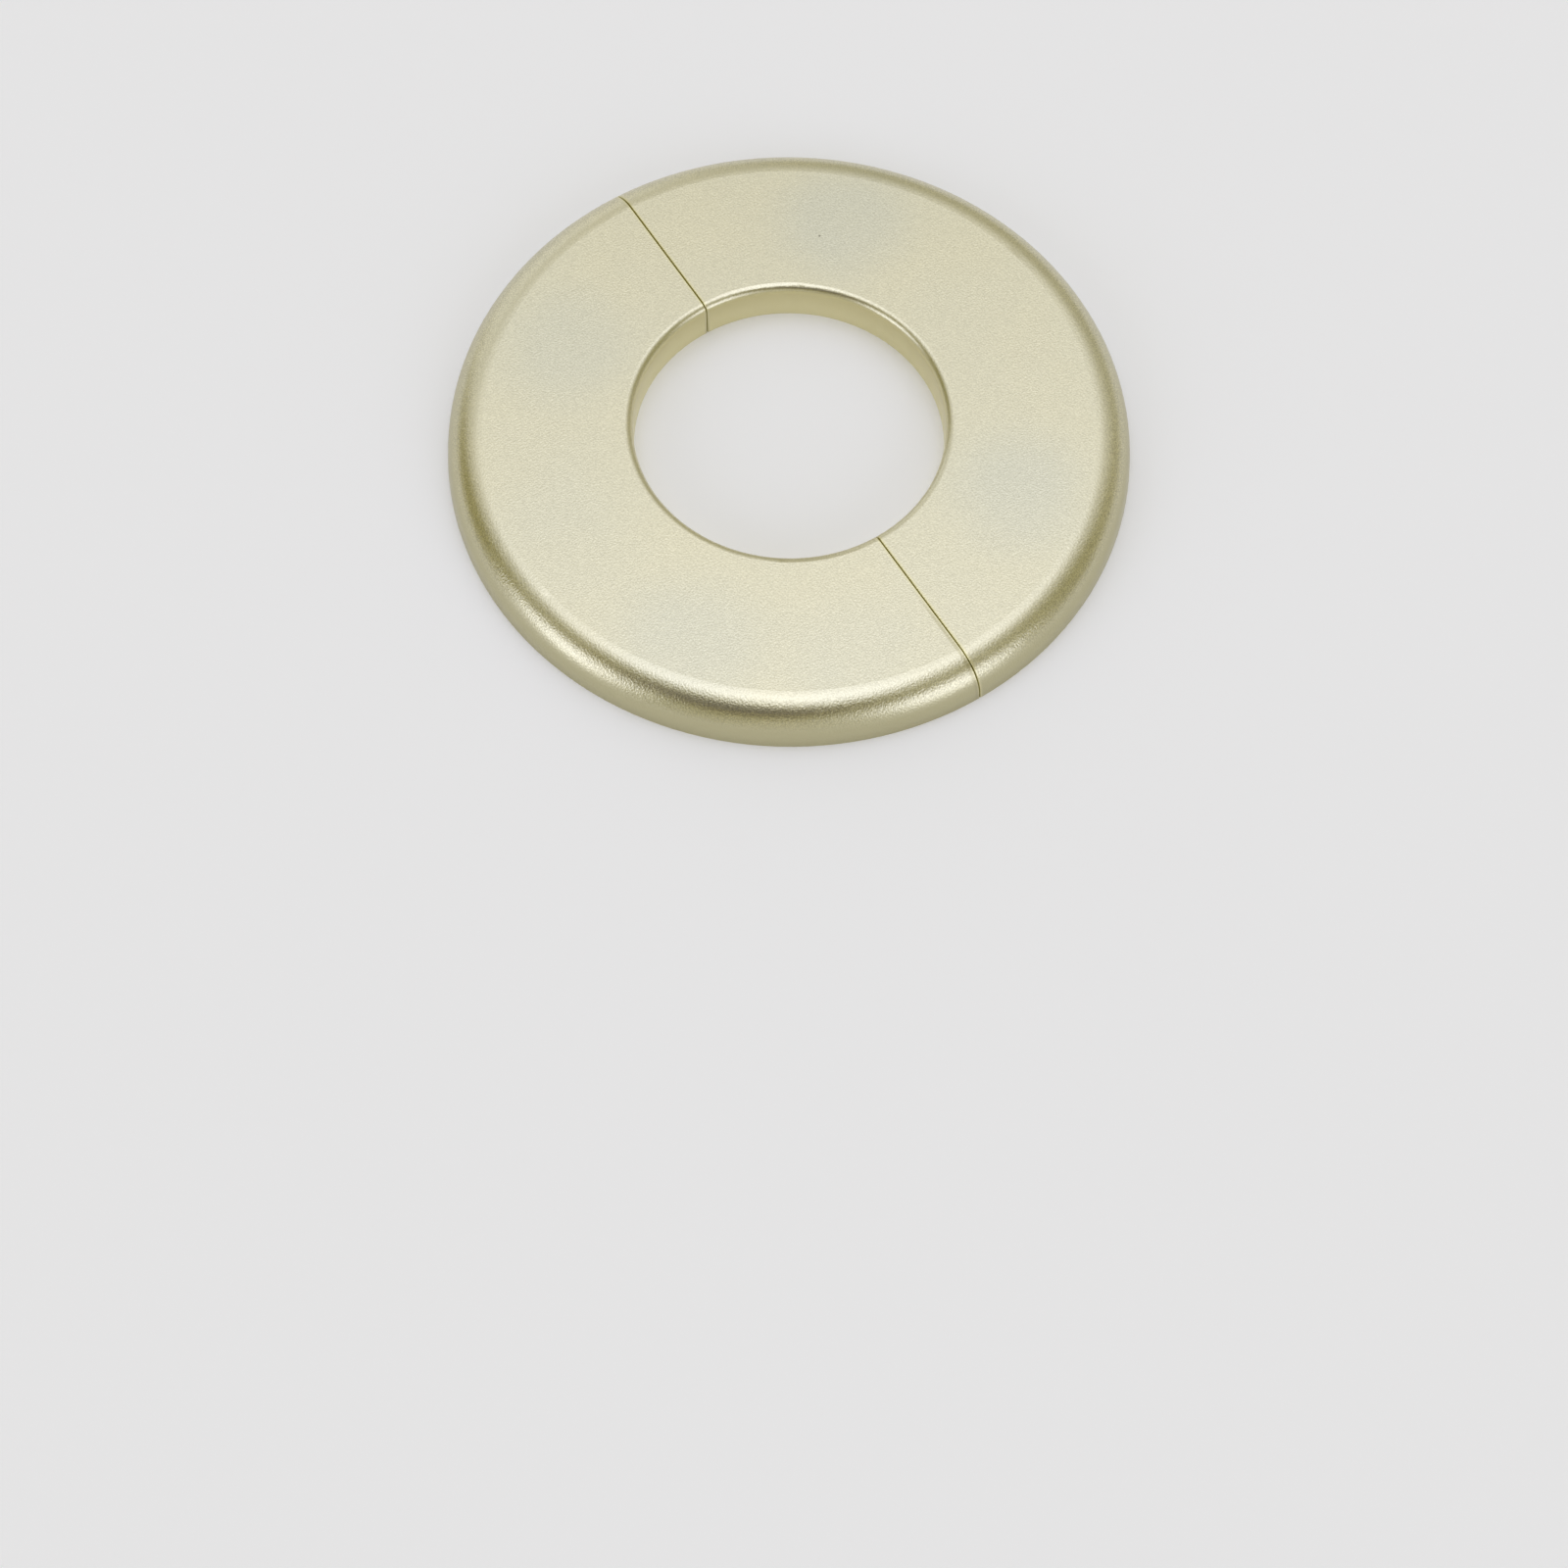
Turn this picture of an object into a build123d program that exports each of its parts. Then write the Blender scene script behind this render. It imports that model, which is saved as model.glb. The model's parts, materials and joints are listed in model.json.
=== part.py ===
from build123d import *
from math import cos, radians, tan
import os

# Split escutcheon: a wall plate for a pipe, moulded as two equal half rings that push together.
# +Z runs along the pipe's axis away from the wall, the wall is the plane Z = 0,
# and the seam between the halves is the plane X = 0. Sizes are in millimetres.

# Ring
bore_diameter = 41.0  # clears a 40 mm pipe
outer_diameter = 90.0
height = 5.5
rim_radius = 4.9  # rounding between the face and the foot of the rim
rim_draft = 6.0  # degrees that the foot of the rim leans, so that it leaves the mould
bore_edge_radius = 1.1
wall = 1.3  # plate, rim and bore wall

# Seam
seam_gap = 0.04
seam_edge = 0.12  # edges broken along the seam
end_wall = 1.2

# Stiffening ribs
rib_count = 3
rib_thickness = 0.8
rib_setback = 1.0  # ribs and guides stop this far short of the wall

# Tongue and socket
tongue_width = 8.0
tongue_thickness = 1.6
tongue_reach = 6.0  # past the middle of the seam
tongue_lead = 0.4  # chamfer at the tip
tongue_clearance = 0.15
guide_thickness = 0.8
guide_spare = 0.8  # guides run this far past the tongue's tip

# Worked out from the sizes above
bore_radius = bore_diameter / 2
outer_radius = outer_diameter / 2
rim_slope = radians(rim_draft)
hollow_depth = height - wall
hollow_chamfer = (rim_radius - wall) * 2 / 3  # keeps the wall behind the rim's rounding about even
seam_face = seam_gap / 2
end_wall_middle = seam_face + end_wall / 2
end_wall_back = seam_face + end_wall
clip_radius = (bore_radius + outer_radius) / 2
tongue_lift = (hollow_depth - tongue_thickness) / 2
tongue_top = tongue_lift + tongue_thickness
socket_half_width = tongue_width / 2 + tongue_clearance
guide_reach = tongue_reach + guide_spare
overcut = wall  # cutters run this far past the face that they open


def plain_section(inset, bottom):
    """One side of the section of the ring, moved in from its surface by an inset, with plain corners."""
    inner = bore_radius + inset
    side = outer_radius - inset / cos(rim_slope)
    top = height - inset
    foot = (side - bottom * tan(rim_slope), bottom)
    shoulder = (side - top * tan(rim_slope), top)
    return make_face(Polyline((inner, bottom), foot, shoulder, (inner, top), close=True))


def rim_corner(section):
    """The corner of a section that lies behind the rounding of the rim."""
    return max(section.vertices(), key=lambda corner: corner.X + corner.Y)


def rim_section(inset, bottom):
    """One side of the section, moved in by an inset, with the rounding of the rim."""
    section = plain_section(inset, bottom)
    return fillet(rim_corner(section), rim_radius - inset)


def ring_section(inset, bottom):
    """One side of the section, moved in by an inset, with the roundings of the rim and the bore."""
    section = rim_section(inset, bottom)
    bore_corner = min(section.vertices(), key=lambda corner: corner.X - corner.Y)
    return fillet(bore_corner, bore_edge_radius - inset)


def turned(section):
    """The ring that a section makes about the pipe's axis."""
    return revolve(Plane.XZ * section, Axis.Z)


def right_of(x):
    """All the space to the right of a plane parallel to the seam."""
    beside = (Align.MIN, Align.CENTER, Align.CENTER)
    return Pos(x, 0, 0) * Box(outer_diameter, 2 * outer_diameter, 4 * height, align=beside)


def block(x, y, z):
    """A box given by its (low, high) limits along each axis."""
    size = [high - low for low, high in (x, y, z)]
    return Pos(x[0], y[0], z[0]) * Box(*size, align=Align.MIN)


def around(middle, half_width):
    """The (low, high) limits of a width centred on a place."""
    return middle - half_width, middle + half_width


def seam_edge_cutter():
    """A thin slab at the seam less two plugs that widen at 45 degrees: it breaks the seam's edges."""
    depth = 2 * seam_edge
    narrow_end = Plane.YZ.offset(seam_face) * ring_section(seam_edge, -overcut)
    wide_end = Plane.YZ.offset(seam_face + depth) * ring_section(-seam_edge, -overcut)
    plug = loft([narrow_end, wide_end], ruled=True)
    slab = block((seam_face, seam_face + depth), around(0, outer_diameter), (0, 2 * height))
    return slab - plug - mirror(plug, about=Plane.XZ)


def outer_form():
    """The half ring as seen from the front, still solid, with its seam edges broken."""
    ring = turned(ring_section(0, 0))
    return (ring & right_of(seam_face)) - seam_edge_cutter()


def hollow():
    """The open space behind the plate, between the rim, the bore wall and the end walls."""
    section = plain_section(wall, -overcut)
    section = chamfer(rim_corner(section), hollow_chamfer)
    return turned(section) & right_of(end_wall_back)


def radial_ribs():
    """Ribs from the bore wall to the rim, spread evenly between the two ends of the half."""
    pitch = 180 / (rib_count + 1)
    slab = block((0, outer_radius), around(0, rib_thickness / 2), (rib_setback, height))
    return [Rot(0, 0, pitch * (i + 1) - 90) * slab for i in range(rib_count)]


def guides(y_middle):
    """Two ribs square to the end wall that stiffen a tongue's root or flank a socket."""
    offset = socket_half_width + guide_thickness / 2
    along = (end_wall_middle, guide_reach)
    up = (rib_setback, height)
    return [block(along, around(y_middle + side * offset, guide_thickness / 2), up)
            for side in (-1, 1)]


def hold_down(y_middle):
    """The rib under the plate, above the place where the other half's tongue lies."""
    return block((end_wall_middle, guide_reach), around(y_middle, guide_thickness / 2),
                 (tongue_top + tongue_clearance, height))


def inner_ribs():
    """Every rib of the hollow, ending inside the walls that it joins."""
    inside = turned(rim_section(wall / 2, -overcut))
    ribs = radial_ribs() + guides(clip_radius) + guides(-clip_radius) + [hold_down(-clip_radius)]
    return [rib & inside for rib in ribs]


def socket_mouth(y_middle):
    """The notch in the end wall, open towards the wall, that the other half's tongue enters."""
    return block((seam_face - overcut, end_wall_back), around(y_middle, socket_half_width),
                 (-overcut, tongue_top + tongue_clearance))


def tongue(y_middle):
    """The blade that reaches across the seam into the other half's socket."""
    blade = block((-tongue_reach, end_wall_middle), around(y_middle, tongue_width / 2),
                  (tongue_lift, tongue_top))
    tip = blade.faces().sort_by(Axis.X)[0]
    return chamfer(tip.edges(), tongue_lead)


def half_ring():
    """The right half: its tongue is at the +Y end of the seam and its socket at the -Y end."""
    half = outer_form() - hollow()
    half += inner_ribs()
    half -= socket_mouth(-clip_radius)
    half += tongue(clip_radius)
    return half


right_half = half_ring()
left_half = Rot(0, 0, 180) * right_half

os.makedirs("parts", exist_ok=True)
export_step(right_half, "parts/right_half.step")
export_step(left_half, "parts/left_half.step")
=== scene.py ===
# %% [markdown]
# A split escutcheon is the cover that hides the hole where a pipe comes out of a wall.
# This one is two equal half rings, moulded in plastic with a satin champagne finish.
# The halves come from the CAD model at their real size, so the lesson is about everything else:
# the camera, the studio and the finish. Nothing here moves or reshapes the halves.

# %% Load the halves
import json
from math import cos, radians, sin

import bpy
from mathutils import Matrix, Vector


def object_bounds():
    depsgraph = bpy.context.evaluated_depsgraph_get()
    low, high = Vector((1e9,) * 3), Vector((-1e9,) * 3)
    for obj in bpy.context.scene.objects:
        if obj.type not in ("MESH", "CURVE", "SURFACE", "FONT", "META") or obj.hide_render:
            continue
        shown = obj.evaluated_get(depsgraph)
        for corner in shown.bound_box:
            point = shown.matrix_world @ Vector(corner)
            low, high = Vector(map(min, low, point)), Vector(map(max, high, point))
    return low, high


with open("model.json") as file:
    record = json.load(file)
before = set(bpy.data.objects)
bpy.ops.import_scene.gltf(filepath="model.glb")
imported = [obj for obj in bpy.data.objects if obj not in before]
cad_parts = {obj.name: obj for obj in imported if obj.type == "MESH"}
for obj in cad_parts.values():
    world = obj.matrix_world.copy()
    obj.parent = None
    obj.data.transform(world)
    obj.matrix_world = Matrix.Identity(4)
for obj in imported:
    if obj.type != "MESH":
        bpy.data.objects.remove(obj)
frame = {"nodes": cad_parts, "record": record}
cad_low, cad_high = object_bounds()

MM = 0.001
halves = [frame["nodes"]["left_half"], frame["nodes"]["right_half"]]
outer_radius = (cad_high.y - cad_low.y) / 2
height = cad_high.z
print("halves:", [half.name for half in halves])
print("cover: %.1f mm across and %.1f mm high" % (2 * outer_radius / MM, height / MM))

# %% [markdown]
# The camera stands where the photographer stood. Five things settle that: how high it looks down
# from, how far off it is, how far it is turned round the cover, how far it leans to one side, and
# which point of the picture the middle of the bore falls on. The last one could be done with a lens
# shift, but a small turn of the camera gives the same picture and leaves every other view centred.

# %% Set up the camera
camera_azimuth = -33.15
camera_elevation = 57.42
camera_distance = 374.6 * MM
camera_roll = 0.88
lens_mm = 64.6
sensor_mm = 36.0
nearest_shown = 10 * MM
farthest_shown = 100
picture_pixels = 1600
bore_pixel = (805.2, 450.8)


def from_above(azimuth, elevation):
    """Unit vector from the cover towards a bearing and a height above the horizon, in degrees."""
    a, e = radians(azimuth), radians(elevation)
    return Vector((sin(a) * cos(e), -cos(a) * cos(e), sin(e)))


def aim_at_pixel(pixel):
    """The turn that brings what the camera looks straight at to a pixel of the picture."""
    focal_pixels = lens_mm / sensor_mm * picture_pixels
    across = (pixel[0] - picture_pixels / 2) / focal_pixels
    down = (pixel[1] - picture_pixels / 2) / focal_pixels
    return Vector((across, -down, -1)).rotation_difference(Vector((0, 0, -1))).to_matrix()


sight = from_above(camera_azimuth, camera_elevation)
level = sight.to_track_quat("Z", "Y").to_matrix()
rolled = level @ Matrix.Rotation(radians(camera_roll), 3, "Z")
aimed = rolled @ aim_at_pixel(bore_pixel)
camera = bpy.data.objects.new("camera", bpy.data.cameras.new("camera"))
camera.data.lens = lens_mm
camera.data.sensor_width = sensor_mm
camera.data.clip_start = nearest_shown
camera.data.clip_end = farthest_shown
camera.matrix_world = Matrix.Translation(sight * camera_distance) @ aimed.to_4x4()
bpy.context.scene.collection.objects.link(camera)
bpy.context.scene.camera = camera
bpy.context.scene.view_settings.view_transform = "Standard"
print("camera: %.0f mm from the bore" % (camera_distance / MM))
print("camera: %.0f degrees above the wall" % camera_elevation)

# %% [markdown]
# Light and finish are both node trees. Nodes can be added one by one and linked by hand, but then
# the arithmetic is lost among the links. A small class that stands for one socket keeps it
# readable: adding or multiplying two of them adds the Math node that does it.

# %% Write shader maths as Python


class Wire:
    """One socket of a node tree. Arithmetic on it adds nodes to that tree."""

    def __init__(self, tree, socket=None):
        self.tree = tree
        self.socket = socket

    def node(self, kind, settings={}, inputs={}, output=0):
        """Adds a node: its settings first, then the values or links of its inputs, by name or number."""
        made = self.tree.nodes.new(kind)
        for name, value in settings.items():
            setattr(made, name, value)
        for name, value in inputs.items():
            if isinstance(value, Wire):
                self.tree.links.new(value.socket, made.inputs[name])
            else:
                made.inputs[name].default_value = value
        return Wire(self.tree, made.outputs[output] if made.outputs else None)

    def math(self, operation, *values):
        """Adds a Math node for plain values."""
        return self.node("ShaderNodeMath", {"operation": operation}, dict(enumerate(values)))

    def __add__(self, other):
        return self.math("ADD", self, other)

    def __sub__(self, other):
        return self.math("SUBTRACT", self, other)

    def __rsub__(self, other):
        return self.math("SUBTRACT", other, self)

    def __mul__(self, other):
        return self.math("MULTIPLY", self, other)

    __radd__ = __add__
    __rmul__ = __mul__

    def vector(self, operation, *values, output=0):
        """Adds a Vector Math node, which works on colours too."""
        settings = {"operation": operation}
        return self.node("ShaderNodeVectorMath", settings, dict(enumerate(values)), output)

    def times(self, colour):
        """A colour or vector made stronger or weaker by this value."""
        settings = {"operation": "SCALE"}
        return self.node("ShaderNodeVectorMath", settings, {"Vector": colour, "Scale": self})

    def fade(self, start, end):
        """Runs smoothly from 0 at start to 1 at end."""
        limits = {"Value": self, "From Min": start, "From Max": end}
        return self.node("ShaderNodeMapRange", {"interpolation_type": "SMOOTHSTEP"}, limits)

    def within(self, start, end):
        """Runs smoothly from 1 at start to 0 at end."""
        return 1 - self.fade(start, end)

    def blend(self, first, second):
        """The first colour where this is 0, the second where it is 1."""
        colours = {"Factor": self, "A": first, "B": second}
        return self.node("ShaderNodeMix", {"data_type": "RGBA"}, colours, "Result")


def empty_tree(owner):
    """Clears the node tree of a material or the world and returns a wire to build on."""
    owner.use_nodes = True
    owner.node_tree.nodes.clear()
    return Wire(owner.node_tree)


print("wires can add, subtract, multiply, scale colours, fade and blend")

# %% [markdown]
# A satin metal look is mostly what the room looks like, blurred. The bright strip along the front
# of the rim is a lamp overhead, the dark band under it is the dim room behind the photographer,
# and the gleams low on the left and right are two lamps at the sides. They could be area lamps,
# but those have hard edges. Soft round patches painted on the world give the same gleams, light
# the cover from all sides and cast a soft shadow. All lamps share one cool tint, in a warmer room. A
# shade is a patch with a strength below zero: it takes light away, as a dark cloth does. Bearings go
# round from the camera: 0 is the photographer's side, 180 the far side of the cover. A low pale band
# at the horizon carries the floor on.

# %% Light the studio
room_colour = (0.54, 0.52, 0.39)
darkest = 0.08
horizon_colour = (0.79, 0.79, 0.80, 1)
horizon_solid = 0.01  # sine of the angle up to which the pale band hides the room
horizon_height = 0.05  # sine of the angle at which it ends, about 3 degrees
lamp_tint = (0.95, 1.00, 1.33)
lamps = {
    # name: bearing, angle from straight up, size and softness in degrees, strength
    "overhead": (180, 0, 5, 30, 1.10),
    "front overhead": (10, 10, 4, 16, 0.55),
    "ceiling": (178, 22, 10, 24, 0.50),
    "far ceiling": (178, 45, 10, 24, 0.10),
    "left": (-62, 69, 8, 18, 1.25),
    "right": (46, 68, 8, 18, 1.25),
    "low left": (-56, 84, 6, 14, 0.45),
    "low right": (42, 82, 6, 14, 0.35),
    "low front": (5, 74, 8, 24, 0.15),
    "rear": (-152, 73, 10, 18, 0.45),
    "rear left": (-128, 40, 8, 22, 0.30),
    "rear right": (132, 40, 8, 22, 0.30),
    "front shade": (-15, 32, 2, 46, -0.55),
    "left shade": (-102, 64, 8, 24, -0.25),
    "right shade": (88, 60, 8, 28, -0.15),
}

world = bpy.data.worlds.new("studio")
bpy.context.scene.world = world
sky = empty_tree(world)
outwards = sky.node("ShaderNodeTexCoord", output="Generated")


def lamp_glow(bearing, from_zenith, size, softness):
    """1 in the middle of a round lamp on the sky, fading to 0 past its edge."""
    middle = from_above(camera_azimuth + bearing, 90 - from_zenith)
    closeness = sky.vector("DOT_PRODUCT", outwards, middle, output="Value")
    return sky.math("ARCCOSINE", closeness).within(radians(size), radians(size + softness))


light = room_colour
for bearing, from_zenith, size, softness, strength in lamps.values():
    glow = lamp_glow(bearing, from_zenith, size, softness)
    light = sky.vector("ADD", light, (strength * glow).times(lamp_tint))
light = sky.vector("MAXIMUM", light, (darkest, darkest, darkest))
upwards = sky.node("ShaderNodeSeparateXYZ", {}, {"Vector": outwards}, "Z")
above_horizon = upwards.fade(horizon_solid, horizon_height)
light = above_horizon.blend(horizon_colour, light)
background = sky.node("ShaderNodeBackground", {}, {"Color": light, "Strength": 1.0})
sky.node("ShaderNodeOutputWorld", {}, {"Surface": background})
print("studio: a dim room with", ", ".join(lamps))

# %% [markdown]
# The cover lies on a plain white floor, which catches its shadow. It could be a sheet that curves up
# behind the cover, but a plane is enough: it reaches the horizon in a low view, and it is matt, so it
# mirrors nothing. In this light white paper shows as pale grey. More light would burn out the cover
# too, so the paper glows a little instead, and only where the camera or a reflection looks at it: the
# glow lights nothing and the shadow stays.

# %% Put the floor down
floor_half_width = 20.0
floor_colour = (0.90, 0.90, 0.92, 1)
floor_roughness = 0.95
floor_gloss = 0.1
floor_glow = 0.05


def flat_square(name, half_width):
    """A level square at the height of the wall plane."""
    corners = [(x * half_width, y * half_width, 0) for x, y in ((-1, -1), (1, -1), (1, 1), (-1, 1))]
    mesh = bpy.data.meshes.new(name)
    mesh.from_pydata(corners, [], [range(len(corners))])
    square = bpy.data.objects.new(name, mesh)
    bpy.context.scene.collection.objects.link(square)
    return square


floor = flat_square("floor", floor_half_width)
paper = bpy.data.materials.new("floor_paper")
sheet = empty_tree(paper)
looks = ("Is Camera Ray", "Is Glossy Ray", "Is Transmission Ray")
looked_at = sum(sheet.node("ShaderNodeLightPath", output=look) for look in looks)
matt = sheet.node("ShaderNodeBsdfPrincipled", {}, {
    "Base Color": floor_colour,
    "Roughness": floor_roughness,
    "Specular IOR Level": floor_gloss,
    "Emission Color": looked_at * floor_glow,
    "Emission Strength": 1.0,
})
sheet.node("ShaderNodeOutputMaterial", {}, {"Surface": matt})
floor.data.materials.append(paper)
print("floor: %.0f m square" % (2 * floor_half_width))

# %% [markdown]
# The finish is champagne: plastic with a fine metal pigment, from a mould with a satin grain. It
# could be painted as a colour map, but the finish is much the same all over, so noise in the
# cover's own coordinates does it, and every mark keeps its real size in millimetres. Object
# coordinates also ride with each half when the two are pulled apart.

# %% Find the way about the surface
champagne = bpy.data.materials.new("champagne_cover")
finish = empty_tree(champagne)
place = finish.node("ShaderNodeTexCoord", output="Object")
across_seam, along_seam, above_wall = [
    finish.node("ShaderNodeSeparateXYZ", {}, {"Vector": place}, axis) for axis in "XYZ"
]
on_the_wall = finish.vector("MULTIPLY", place, (1, 1, 0))
from_axis = finish.vector("LENGTH", on_the_wall, output="Value")
from_seam = finish.math("ABSOLUTE", across_seam)


def noise(size, detail=0.0):
    """Cloudy values from 0 to 1 with features of a given size."""
    inputs = {"Vector": place, "Scale": 1 / size, "Detail": detail}
    return finish.node("ShaderNodeTexNoise", {}, inputs, "Fac")


bore_mount = next(mount for mount in frame["record"]["mounts"] if mount["kind"] == "bore")
bore_radius = bore_mount["dims"]["r_mm"] * MM
print("bore: %.1f mm across" % (2 * bore_radius / MM))

# %% [markdown]
# A mould's satin grain is a relief, so it is made as one: a bump of hollows a quarter of a millimetre
# wide. Plain roughness would only blur the gleams. The grain breaks them up into sparks where a
# bright strip meets a dark one, as it does on the real cover. It is deeper on the rounding of the rim
# than on the flat face. A much wider and fainter ripple is the slight unevenness of a moulded face,
# which keeps long reflections from being too perfect.

# %% Raise the satin grain
grain_size = 0.24 * MM
grain_depth = 0.018 * MM
rim_grain_gain = 1.4
rim_start = 0.90 * outer_radius
rim_full = 0.95 * outer_radius
ripple_size = 20 * MM
ripple_depth = 0.010 * MM

grain = noise(grain_size)
ripple = noise(ripple_size)
on_rim = from_axis.fade(rim_start, rim_full)
grain_strength = 1 + (rim_grain_gain - 1) * on_rim
relief = grain * grain_strength * (grain_depth / MM) + ripple * (ripple_depth / MM)
satin_surface = finish.node("ShaderNodeBump", {}, {"Height": relief, "Distance": MM, "Strength": 1.0})
print("grain: %.2f mm wide and %.3f mm deep" % (grain_size / MM, grain_depth / MM))

# %% [markdown]
# The colour is not quite even. The metal pigment drifts between a warm and a cool champagne, most of
# all in a few soft clouds on the face, and each flake is a little lighter or darker than the next.
# On the rounding of the rim the flakes lie at more angles, so they differ more and sparkle there.
# Clouds could come from noise alone, but noise would not put them where the real cover has them.

# %% Mix the champagne
warm_champagne = (0.636, 0.597, 0.418, 1)
cool_champagne = (0.584, 0.567, 0.430, 1)
noise_low, noise_high = 0.3, 0.7  # nearly all values of a noise lie between these
drift_size = 16 * MM
drift_detail = 2.0
drift_share = 0.25
cloud_core = 3 * MM
cloud_radius = 13 * MM
clouds = [  # x and y in mm, strength
    (23, 23, 0.9), (-19, 25, 0.7), (-31, 2, 0.25), (-28, -21, 0.65), (-12, -34, 0.4), (19, -25, 0.75),
]
flake_size = 0.18 * MM
flake_detail = 1.0
middle_flake = 0.5
face_flake_contrast = 0.16
rim_flake_contrast = 0.40

cool = drift_share * noise(drift_size, drift_detail).fade(noise_low, noise_high)
for x, y, strength in clouds:
    from_cloud = finish.vector("DISTANCE", place, (x * MM, y * MM, height), output="Value")
    cool = cool + strength * from_cloud.within(cloud_core, cloud_radius)
flake = noise(flake_size, flake_detail).fade(noise_low, noise_high)
flake_contrast = face_flake_contrast + (rim_flake_contrast - face_flake_contrast) * on_rim
sparkle = 1 + flake_contrast * (flake - middle_flake)
colour = sparkle.times(cool.blend(warm_champagne, cool_champagne))
print("clouds:", len(clouds))

# %% [markdown]
# Less metal lies at the surface where the mould slides along a wall as it opens. So the wall of the
# bore is yellower and closer to plain plastic. Its colour is painted darker towards the top, as painted
# shade, and paler towards the foot, as a painted reflection of the floor. The foot of the rim is
# painted deeper in colour, as painted shade. Materials of their own would end at a hard line. Masks on
# the distance from the axis and the height fade into the champagne instead.

# %% Tint the bore with painted shade and reflection, and paint shade on the foot of the rim
# painted shade at the top of the bore wall, and a painted reflection of the floor at its foot
bore_top_painted_shade_colour = (0.610, 0.550, 0.285, 1)
bore_foot_painted_reflection_colour = (0.790, 0.735, 0.450, 1)
bore_wall_reach = 0.25 * MM
# painted shade on the foot of the rim
rim_foot_painted_shade_colour = (0.530, 0.495, 0.310, 1)
foot_top = 4.4 * MM
foot_fade = 2.0 * MM

in_bore = from_axis.within(bore_radius, bore_radius + bore_wall_reach)
up_the_bore = above_wall.fade(0, height)
# where the painted shade lies on the foot of the rim
on_painted_foot_shade = above_wall.within(foot_top - foot_fade, foot_top) * on_rim
# the painted shade on the foot of the rim, then the bore wall's tint with its painted shade and
# reflection
colour = on_painted_foot_shade.blend(colour, rim_foot_painted_shade_colour)
colour = in_bore.blend(colour, up_the_bore.blend(bore_foot_painted_reflection_colour, bore_top_painted_shade_colour))
print("bore wall: yellower up to %.2f mm from the bore" % (bore_wall_reach / MM))

# %% [markdown]
# Inside the hollow the mould is not grained with the same care, so the back is duller than the face,
# and plain champagne with no marks. The inner faces could have a material of their own, but then each
# of them has to be picked out. A mask is simpler: how deep a point lies under the outer skin. It is
# the least of three depths, under the face, behind the bore wall and behind the rim.

# %% Make the hollow duller
wall_thickness = 1.3 * MM
hollow_start = 0.3 * wall_thickness
hollow_full = 0.7 * wall_thickness
rim_rounding = 4.9 * MM
rim_lean = 0.09 * MM  # the rounding lies this much further in, because the rim leans
rim_centre = outer_radius - rim_lean - rim_rounding

past_rim_centre = finish.math("MAXIMUM", from_axis - rim_centre, 0.0)
above_rim_centre = finish.math("MAXIMUM", above_wall - (height - rim_rounding), 0.0)
to_rim = finish.node("ShaderNodeCombineXYZ", {}, {"X": past_rim_centre, "Y": above_rim_centre})
behind_rim = rim_rounding - finish.vector("LENGTH", to_rim, output="Value")
under_face = height - above_wall
behind_bore = from_axis - bore_radius
depth = finish.math("MINIMUM", finish.math("MINIMUM", under_face, behind_bore), behind_rim)
in_hollow = depth.fade(hollow_start, hollow_full)
colour = in_hollow.blend(colour, warm_champagne)
print("hollow: deeper than %.1f mm" % (hollow_full / MM))

# %% [markdown]
# The halves meet in a groove as fine as a hair, because the edges of both are broken. The CAD model
# has the groove, and its shadow alone could draw the line, but it would be too grey. So the groove is
# given painted shade in the dark yellow-green of the line on the real cover, with a slightly yellower
# lip on each side. Only the outer skin has these colours, so that the ends of the halves are plain when
# they are pulled apart. Two marks of use are kept: the edge of the left half is rubbed darker where the
# seam nears the front of the rim, and the face of the right half has one tiny dark pit. Both are far
# too small to need a shape.

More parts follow.
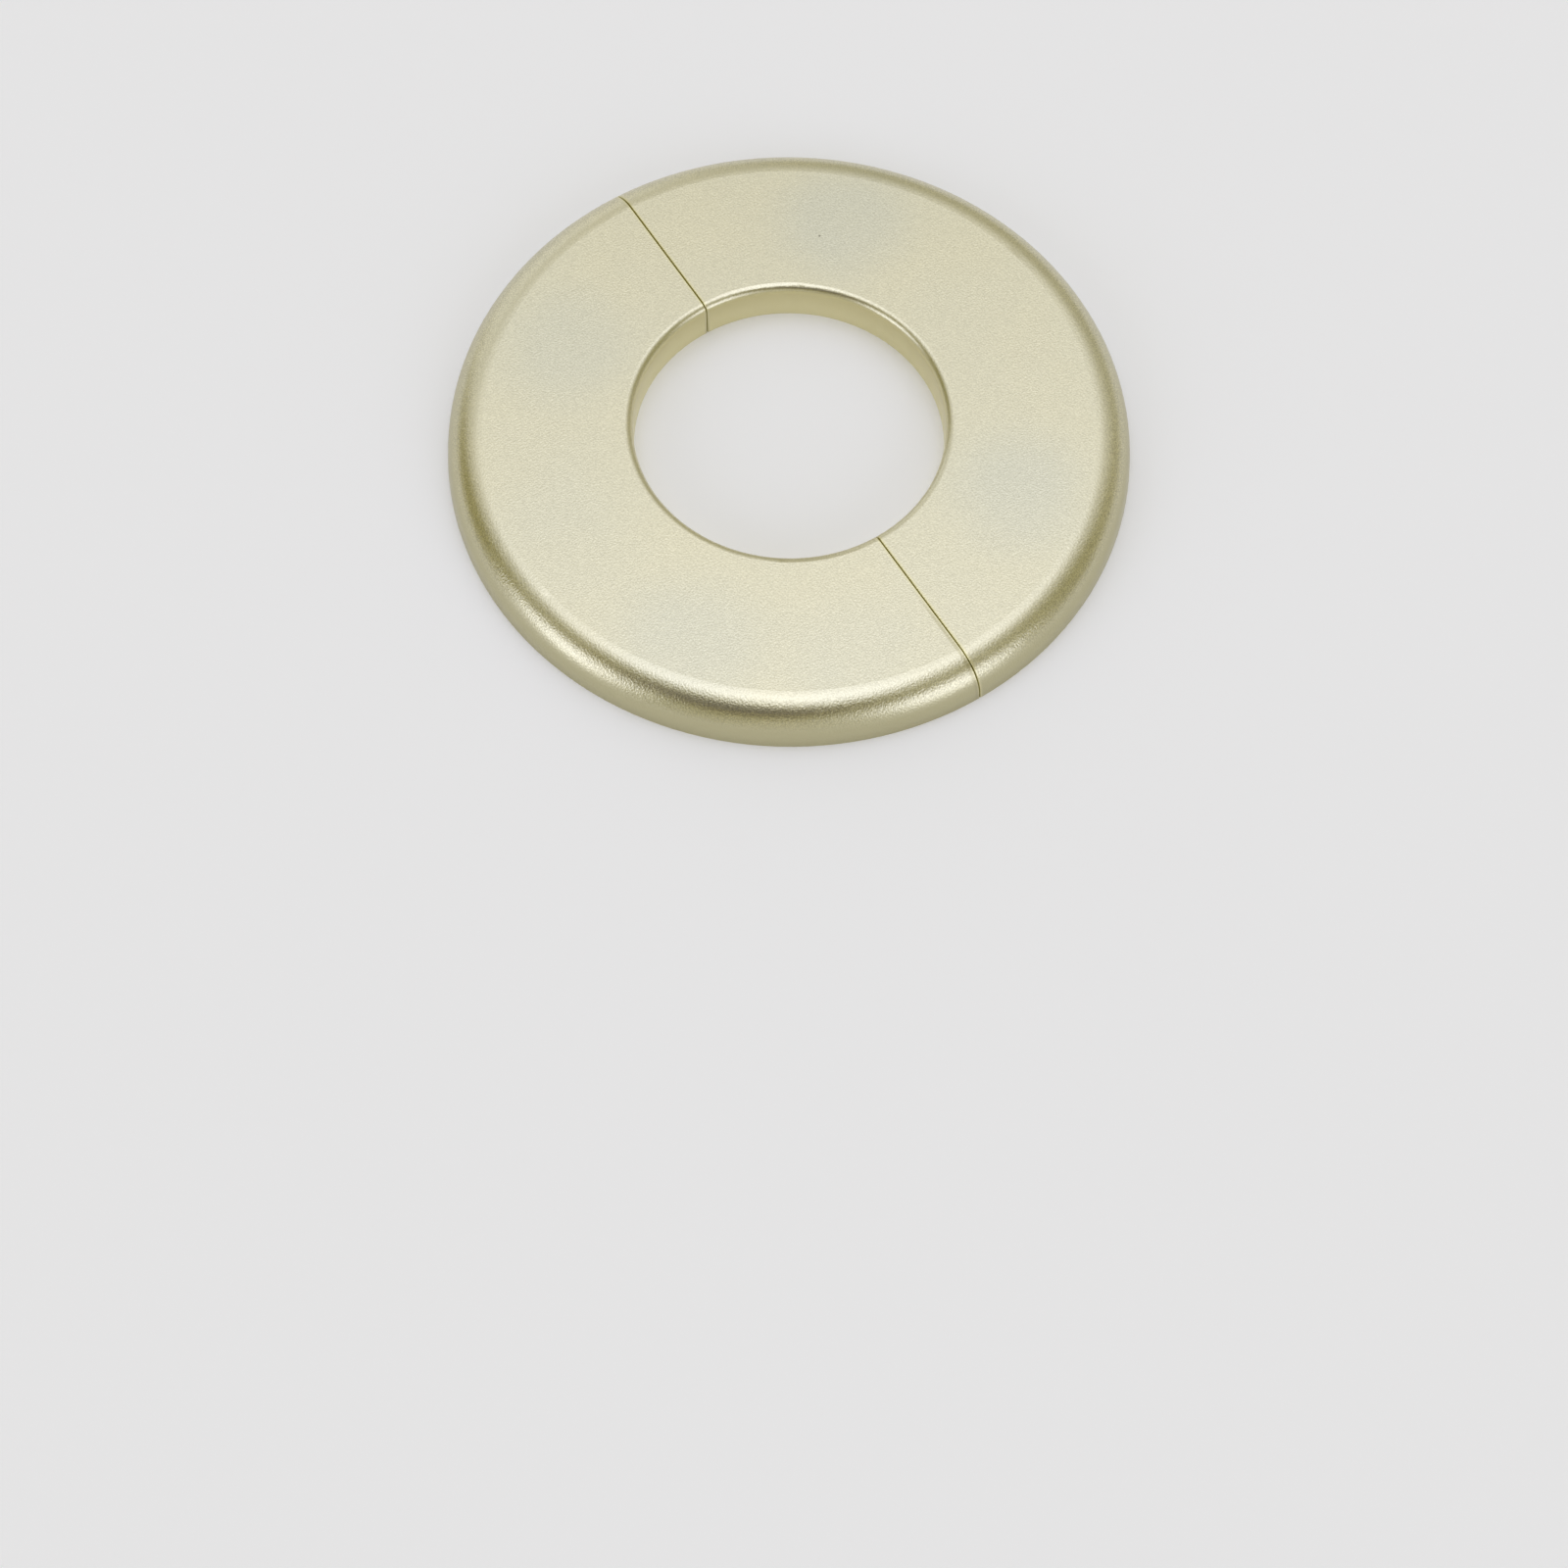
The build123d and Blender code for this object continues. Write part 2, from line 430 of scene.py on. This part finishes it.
# %% Paint shade in the seam and draw the marks of use
# painted shade in the groove, dark yellow-green
painted_groove_shade = (0.420, 0.380, 0.120, 1)
lip_colour = (0.665, 0.620, 0.385, 1)
rubbed_colour = (0.490, 0.455, 0.290, 1)
pit_colour = (0.260, 0.245, 0.180, 1)
skin_depth = 0.40 * MM
groove_half_width = 0.12 * MM
lip_width = 0.40 * MM
rubbed_middle = -0.45 * MM
rubbed_half_width = 0.30 * MM
rubbed_start = -29 * MM
rubbed_full = -36 * MM
pit_place = (19.1 * MM, 22.5 * MM, height)
pit_radius = 0.20 * MM
mark_core = 0.5  # share of a mark's width that has its full colour
rubbed_core = 0.3

on_skin = depth.within(mark_core * skin_depth, skin_depth)
in_groove = from_seam.within(mark_core * groove_half_width, groove_half_width)
on_lip = from_seam.within(groove_half_width, groove_half_width + lip_width)
from_rubbing = finish.math("ABSOLUTE", across_seam - rubbed_middle)
towards_rim = along_seam.within(rubbed_full, rubbed_start)
rubbed = towards_rim * from_rubbing.within(rubbed_core * rubbed_half_width, rubbed_half_width)
from_pit = finish.vector("DISTANCE", place, pit_place, output="Value")
in_pit = from_pit.within(mark_core * pit_radius, pit_radius)
colour = (on_lip * on_skin).blend(colour, lip_colour)
colour = (rubbed * on_skin).blend(colour, rubbed_colour)
# painted shade in the groove between the halves
colour = (in_groove * on_skin).blend(colour, painted_groove_shade)
colour = in_pit.blend(colour, pit_colour)
print("seam groove: %.2f mm wide" % (2 * groove_half_width / MM))

# %% [markdown]
# One shader takes it all. Metal and plastic could be two shaders and a mix, but the pigment is metal
# flake all through, so nearly all the reflection is tinted: that is what Metallic says. A little below
# 1 leaves some of the plastic's own colour in the dark bands.

# %% Put the finish on the halves
face_metallic = 0.95
hollow_metallic = 0.60
bore_metallic = 0.30
face_roughness = 0.275
hollow_roughness = 0.45
grain_roughness = 0.02

less_in_hollow = (face_metallic - hollow_metallic) * in_hollow
less_in_bore = (face_metallic - bore_metallic) * in_bore
metallic = face_metallic - less_in_hollow - less_in_bore
rougher_in_hollow = (hollow_roughness - face_roughness) * in_hollow
roughness = face_roughness + rougher_in_hollow + grain_roughness * grain
satin = finish.node("ShaderNodeBsdfPrincipled", {}, {
    "Base Color": colour,
    "Metallic": metallic,
    "Roughness": roughness,
    "Normal": satin_surface,
})
finish.node("ShaderNodeOutputMaterial", {}, {"Surface": satin})
for half in halves:
    half.data.materials.clear()
    half.data.materials.append(champagne)
print("champagne finish on", len(halves), "halves")
